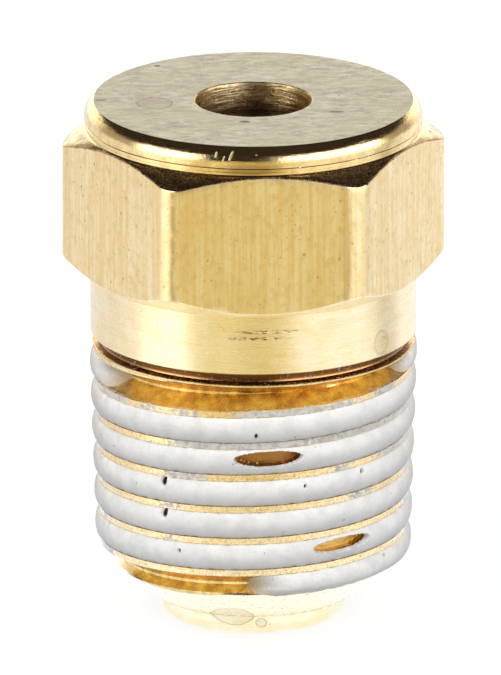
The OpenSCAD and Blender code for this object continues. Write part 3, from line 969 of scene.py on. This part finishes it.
def make_sealant(material):
    points, faces, values = make_bead(-730, 1378, 22, 26)
    more, more_faces, more_values = make_bead(1502, 1600, 16, 50, 0.2, 0.7)
    faces += [tuple(i + len(points) for i in f) for f in more_faces]
    values = {key: values[key] + more_values[key] for key in values}
    obj = make_mesh("sealant_bead", points + more, faces, [material], None, 60, values)
    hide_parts("thread_sealant")
    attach(obj, "root")
    return obj


# ---------------------------------------------------------------- works


def node_mm(name):
    low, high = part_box(name)
    return [v / MM for v in low], [v / MM for v in high]


def washer_profile(low, high, outer, inner, edge):
    """Closed section of a washer with rounded edges."""
    corners = [
        (outer, low, -1, 1, 270), (outer, high, -1, -1, 0), (inner, high, 1, -1, 90), (inner, low, 1, 1, 180),
    ]
    arcs = []
    for r, z, out, up, start in corners:
        turns = [math.radians(start + 22.5 * k) for k in range(5)]
        arcs.append([(r + edge * (out + math.cos(a)), z + edge * (up + math.sin(a))) for a in turns])
    points = []
    for k, arc in enumerate(arcs):
        points += arc
        if k == 2:
            continue
        (r0, z0), (r1, z1) = arc[-1], arcs[(k + 1) % 4][0]
        points += [(r0 + (r1 - r0) * share, z0 + (z1 - z0) * share) for share in (0.25, 0.5, 0.75)]
    return points


def make_discs(material):
    """Fibre discs: each thickens between the bodies under and over it."""
    for k in range(1, 13):
        low, high = node_mm(f"fibre_disc_{k}")
        gap = 0.006
        profile = washer_profile(low[2] + gap, high[2] - gap, high[0], 0.79, 0.09)
        obj = lathe(f"swelling_disc_{k}", profile, material, 96, 0.012, k * 1.7)
        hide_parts(f"fibre_disc_{k}")
        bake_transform(obj)


def make_spring(material):
    low, high = node_mm("return_spring")
    wire = 0.175
    mid_r = 2.5
    turns, closed = 6, 0.5
    bottom, top = low[2] + wire, high[2] - wire
    rise = top - bottom - 4 * wire
    path = []
    steps = 40
    for i in range(int((turns + 2 * closed) * steps) + 1):
        turn = i / steps
        open_turns = min(max(turn - closed, 0), turns)
        ends = min(turn, closed) + max(turn - turns - closed, 0)
        path.append(around(mid_r, turn * 360, bottom + rise * open_turns / turns + 2 * wire * ends / closed))
    points, faces = tube_along(path, wire, 12)
    # The end coils are ground flat
    points = [Vector((p[0], p[1], min(max(p[2], low[2] + 0.02), high[2] - 0.02))) for p in points]
    obj = make_mesh("spring_coil", points, faces, [material], None, 50)
    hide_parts("return_spring")
    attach(obj, "root")
    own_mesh(obj)
    return obj


def make_pin(material):
    low, high = node_mm("valve_pin")
    b = 0.06
    profile = [
        (0, low[2]), (0.7 - b, low[2]), (0.7, low[2] + b), (0.7, FLANGE_FOOT), (1.5 - b, FLANGE_FOOT),
        (1.5, FLANGE_FOOT + b), (1.5, FLANGE_TOP - b), (1.5 - b, FLANGE_TOP), (1.0, FLANGE_TOP),
        (0.9, 13.0), (0.9, 15.0), (0.9, 17.1), (1.0, 17.2),
        (1.85 - b, 17.2), (1.85, 17.2 + b), (1.85, 17.8 - b), (1.85 - b, 17.8), (0.55, 17.8),
        (0.55, high[2] - 0.28), (0.5, high[2] - 0.22), (0.29, high[2] - 0.02), (0.24, high[2]), (0, high[2]),
    ]
    obj = lathe("pin", profile, material, 72, closed=False, smooth_angle=30)
    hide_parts("valve_pin")
    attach(obj, "valve")


def make_seal(material):
    low, high = node_mm("valve_seal")
    obj = lathe("seal_washer", washer_profile(low[2], high[2], high[0] - 0.01, 0.56, 0.1), material, 72)
    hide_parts("valve_seal")
    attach(obj, "valve")


def make_ring(material):
    low, high = node_mm("retaining_ring")
    obj = lathe("nose_ring", washer_profile(low[2], high[2], high[0], 2.2, 0.08), material, 96)
    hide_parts("retaining_ring")
    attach(obj, "root")


def make_screen(material):
    """Strainer: a plain-weave wire cloth inside a pressed rim."""
    low, high = node_mm("strainer_screen")
    mid = (low[2] + high[2]) / 2
    wire, step = 0.045, 0.28
    rim = high[0] - 0.1
    points, faces = [], []

    def add(path, radius, sides, closed=False):
        p, f = tube_along(path, radius, sides, closed)
        shift = len(points)
        points.extend(p)
        faces.extend(tuple(i + shift for i in face) for face in f)

    reach = int(rim / step)
    for i in range(-reach, reach + 1):
        offset = i * step
        half = math.sqrt(max(0.0, rim * rim - offset * offset))
        if half < 0.3:
            continue
        segments = max(8, int(half * 2 / step * 6))
        for across in (False, True):
            path = []
            for k in range(segments + 1):
                t = -half + 2 * half * k / segments
                lift = 0.045 * math.cos(math.pi * (t / step + i)) * (-1 if across else 1)
                path.append((offset, t, mid + lift) if across else (t, offset, mid + lift))
            add(path, wire, 6)
    add([around(rim, 4 * k, mid) for k in range(90)], 0.095, 10, True)
    obj = make_mesh("strainer_cloth", points, faces, [material], None, 60)
    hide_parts("strainer_screen")
    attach(obj, "root")


# ---------------------------------------------------------------- studio


def make_studio():
    """Pale floor, white surround, and the soft panels and dark gap that the brass mirrors."""
    scene = bpy.context.scene
    world = bpy.data.worlds.new("studio")
    scene.world = world
    world.use_nodes = True
    world.cycles.sampling_method = "NONE"
    world.node_tree.nodes.clear()
    SurroundNodes(world.node_tree).build_world()

    floor_mesh = bpy.data.meshes.new("floor")
    size = 0.6
    sides = 64
    turns = [2 * math.pi * k / sides for k in range(sides)]
    ring = [(size * math.cos(a), size * math.sin(a), -0.00002) for a in turns]
    floor_mesh.from_pydata(ring, [], [tuple(range(sides))])
    floor = bpy.data.objects.new("floor", floor_mesh)
    scene.collection.objects.link(floor)
    floor_mat = bpy.data.materials.new("floor")
    floor_mat.use_nodes = True
    floor_mesh.materials.append(floor_mat)
    floor_mat.node_tree.nodes.clear()
    SurroundNodes(floor_mat.node_tree).build_floor()

    def panel(name, azimuth, elevation, distance, size, radiance):
        light = bpy.data.lights.new(name, "AREA")
        light.shape = "SQUARE"
        light.size = size
        light.energy = radiance * math.pi * size * size
        obj = bpy.data.objects.new(name, light)
        tilt = math.radians(elevation)
        direction = Vector(around(math.cos(tilt), azimuth, math.sin(tilt)))
        obj.location = Vector((0, 0, 0.012)) + direction * distance
        obj.rotation_mode = "QUATERNION"
        obj.rotation_quaternion = direction.to_track_quat("Z", "Y")
        obj.visible_glossy = False
        obj.visible_camera = False
        scene.collection.objects.link(obj)

    panel("panel_left", -50, 50, 0.30, 0.20, 2.4)
    panel("panel_right", 50, 50, 0.30, 0.20, 2.0)


class SurroundNodes(Nodes):
    """Brightness of the surroundings by direction, as the polished brass sees it."""

    def smooth(self, value, low, high):
        node = self.add("ShaderNodeMapRange", interpolation_type="SMOOTHSTEP")
        self.put(node.inputs[0], value)
        node.inputs[1].default_value = low
        node.inputs[2].default_value = high
        return node.outputs[0]

    def round_the_horizon(self, azimuth, stops):
        """Colour by azimuth in degrees; stops are (degrees, (r, g, b)), scaled by 1/4 to fit a ramp."""
        share = self.math("ADD", self.math("DIVIDE", azimuth, 2 * math.pi), 0.5)
        node = self.add("ShaderNodeValToRGB")
        node.color_ramp.interpolation = "EASE"
        elements = node.color_ramp.elements
        for _ in stops[2:]:
            elements.new(0.5)
        for element, (degrees, color) in zip(elements, stops):
            element.position = degrees / 360 + 0.5
            element.color = (*[c / 4 for c in color], 1)
        self.put(node.inputs[0], share)
        gain = self.add("ShaderNodeVectorMath", operation="SCALE")
        self.put(gain.inputs[0], node.outputs[0])
        gain.inputs["Scale"].default_value = 4
        return gain.outputs[0]

    def low_band(self, azimuth):
        """What lies at and under the horizon."""
        return self.round_the_horizon(azimuth, [
            (-180, (0.95, 1.0, 1.1)), (-118, (0.92, 0.95, 1.05)), (-92, (1.02, 1.05, 1.22)),
            (-76, (1.45, 1.55, 1.65)), (-54, (1.45, 1.55, 1.65)), (-42, (0.86, 0.82, 0.58)),
            (-24, (0.96, 0.92, 0.64)), (-6, (0.82, 0.75, 0.43)), (14, (0.82, 0.75, 0.43)),
            (28, (1.08, 1.1, 1.12)), (84, (1.1, 1.2, 1.4)), (96, (0.62, 0.62, 0.62)),
            (106, (0.88, 0.92, 1.05)), (122, (1.18, 1.25, 1.42)), (180, (0.98, 1.03, 1.12)),
        ])

    def high_band(self, azimuth):
        """What stands above it: two soft panels with a dark gap between them, dim sides and a bright back."""
        dark = (0.035, 0.03, 0.03)
        dim = (0.45, 0.42, 0.40)
        return self.round_the_horizon(azimuth, [
            (-180, (2.2, 2.2, 2.1)), (-150, (1.75, 1.75, 1.7)), (-124, dim), (-90, dim), (-84, (3.4, 3.6, 4)),
            (-45, (3.4, 3.6, 4)), (-38, dark), (12, dark), (20, (3.2, 3.4, 4)), (88, (3.2, 3.4, 4)),
            (96, dim), (124, dim), (150, (1.75, 1.75, 1.7)), (180, (2.2, 2.2, 2.1)),
        ])

    def build_world(self):
        coords = self.add("ShaderNodeTexCoord")
        xyz = self.add("ShaderNodeSeparateXYZ")
        self.put(xyz.inputs[0], coords.outputs["Generated"])
        x, y, z = xyz.outputs
        azimuth = self.math("ARCTAN2", x, self.math("MULTIPLY", y, -1.0))
        above = self.smooth(z, -0.24, -0.10)
        mirrored = self.mix(above, self.low_band(azimuth), self.high_band(azimuth))
        back = self.math("MULTIPLY", self.smooth(y, -0.2, 0.3), 0.09)
        overhead = self.smooth(self.math("ADD", z, back), 0.41, 0.49)
        mirrored = self.mix(overhead, mirrored, (0.035, 0.028, 0.026))
        path = self.add("ShaderNodeLightPath")
        soft = self.mix(self.smooth(z, -0.3, 0.9), (0.36, 0.36, 0.36), (0.95, 0.95, 0.95))
        color = self.mix(path.outputs["Is Glossy Ray"], soft, mirrored)
        color = self.mix(path.outputs["Is Camera Ray"], color, (1, 1, 1))
        background = self.add("ShaderNodeBackground")
        self.put(background.inputs["Color"], color)
        output = self.add("ShaderNodeOutputWorld")
        self.put(output.inputs[0], background.outputs[0])

    def build_floor(self):
        geometry = self.add("ShaderNodeNewGeometry")
        xyz = self.add("ShaderNodeSeparateXYZ")
        self.put(xyz.inputs[0], geometry.outputs["Position"])
        x, y, _ = xyz.outputs
        azimuth = self.math("ARCTAN2", x, self.math("MULTIPLY", y, -1.0))
        flat = self.add("ShaderNodeCombineXYZ")
        self.put(flat.inputs[0], x)
        self.put(flat.inputs[1], y)
        length = self.add("ShaderNodeVectorMath", operation="LENGTH")
        self.put(length.inputs[0], flat.outputs[0])
        near = self.smooth(length.outputs["Value"], 0.034, 0.010)
        under = self.smooth(length.outputs["Value"], 0.0075, 0.0050)
        close = self.mix(under, (1.16, 1.45, 2.0), (1.1, 1.22, 1.42))
        mirrored = self.mix(near, self.low_band(azimuth), close)
        glow = self.add("ShaderNodeEmission")
        self.put(glow.inputs["Color"], mirrored)
        path = self.add("ShaderNodeLightPath")
        seen = path.outputs["Is Camera Ray"]
        paper = self.add("ShaderNodeBsdfDiffuse")
        self.put(paper.inputs["Color"], self.mix(seen, (0.5, 0.5, 0.5), (0.22, 0.22, 0.22)))
        lift = self.add("ShaderNodeEmission")
        self.put(lift.inputs["Color"], self.mix(seen, (0, 0, 0), (0.8, 0.8, 0.8)))
        pale = self.add("ShaderNodeAddShader")
        self.put(pale.inputs[0], paper.outputs[0])
        self.put(pale.inputs[1], lift.outputs[0])
        switch = self.add("ShaderNodeMixShader")
        self.put(switch.inputs[0], path.outputs["Is Glossy Ray"])
        self.put(switch.inputs[1], pale.outputs[0])
        self.put(switch.inputs[2], glow.outputs[0])
        one_sided = self.add("ShaderNodeMixShader")
        clear = self.add("ShaderNodeBsdfTransparent")
        self.put(one_sided.inputs[0], geometry.outputs["Backfacing"])
        self.put(one_sided.inputs[1], switch.outputs[0])
        self.put(one_sided.inputs[2], clear.outputs[0])
        output = self.add("ShaderNodeOutputMaterial")
        self.put(output.inputs[0], one_sided.outputs[0])


def make_camera():
    """A lens too long to show perspective, a little above the horizon and a little to the left."""
    azimuth, elevation = math.radians(-4), math.radians(17.2)
    camera = bpy.data.cameras.new("camera")
    camera.type = "ORTHO"
    camera.ortho_scale = 0.02848
    distance = 0.3
    camera.clip_start, camera.clip_end = 0.01, 10
    obj = bpy.data.objects.new("camera", camera)
    back = Vector(around(math.cos(elevation), math.degrees(azimuth), math.sin(elevation)))
    right = Vector((math.cos(azimuth), math.sin(azimuth), 0))
    target = Vector((0, 0, 0.01198)) - right * 0.00012
    obj.location = target + back * distance
    obj.rotation_mode = "QUATERNION"
    obj.rotation_quaternion = back.to_track_quat("Z", "Y")
    bpy.context.scene.collection.objects.link(obj)
    bpy.context.scene.camera = obj


# ---------------------------------------------------------------- build

materials = {
    "turned": brass_turned(),
    "thread": brass_thread(),
    "drawn": brass_drawn(),
    "polished": brass_polished(),
    "chamfered": brass_chamfered(),
    "faced": brass_faced(),
    "bore": brass_bore(),
}
inner_brass = works_brass()
wire_steel = steel()
red_fibre = fibre()
make_body(materials)
make_sealant(sealant())
make_discs(red_fibre)
make_spring(wire_steel)
make_pin(inner_brass)
make_seal(rubber())
make_ring(inner_brass)
make_screen(wire_steel)
for name in ("push_plate", "support_plate"):
    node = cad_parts[name]
    node.data.materials.clear()
    node.data.materials.append(inner_brass)

make_studio()
make_camera()
view_settings = bpy.context.scene.view_settings
view_settings.view_transform = "Standard"
view_settings.look = "None"
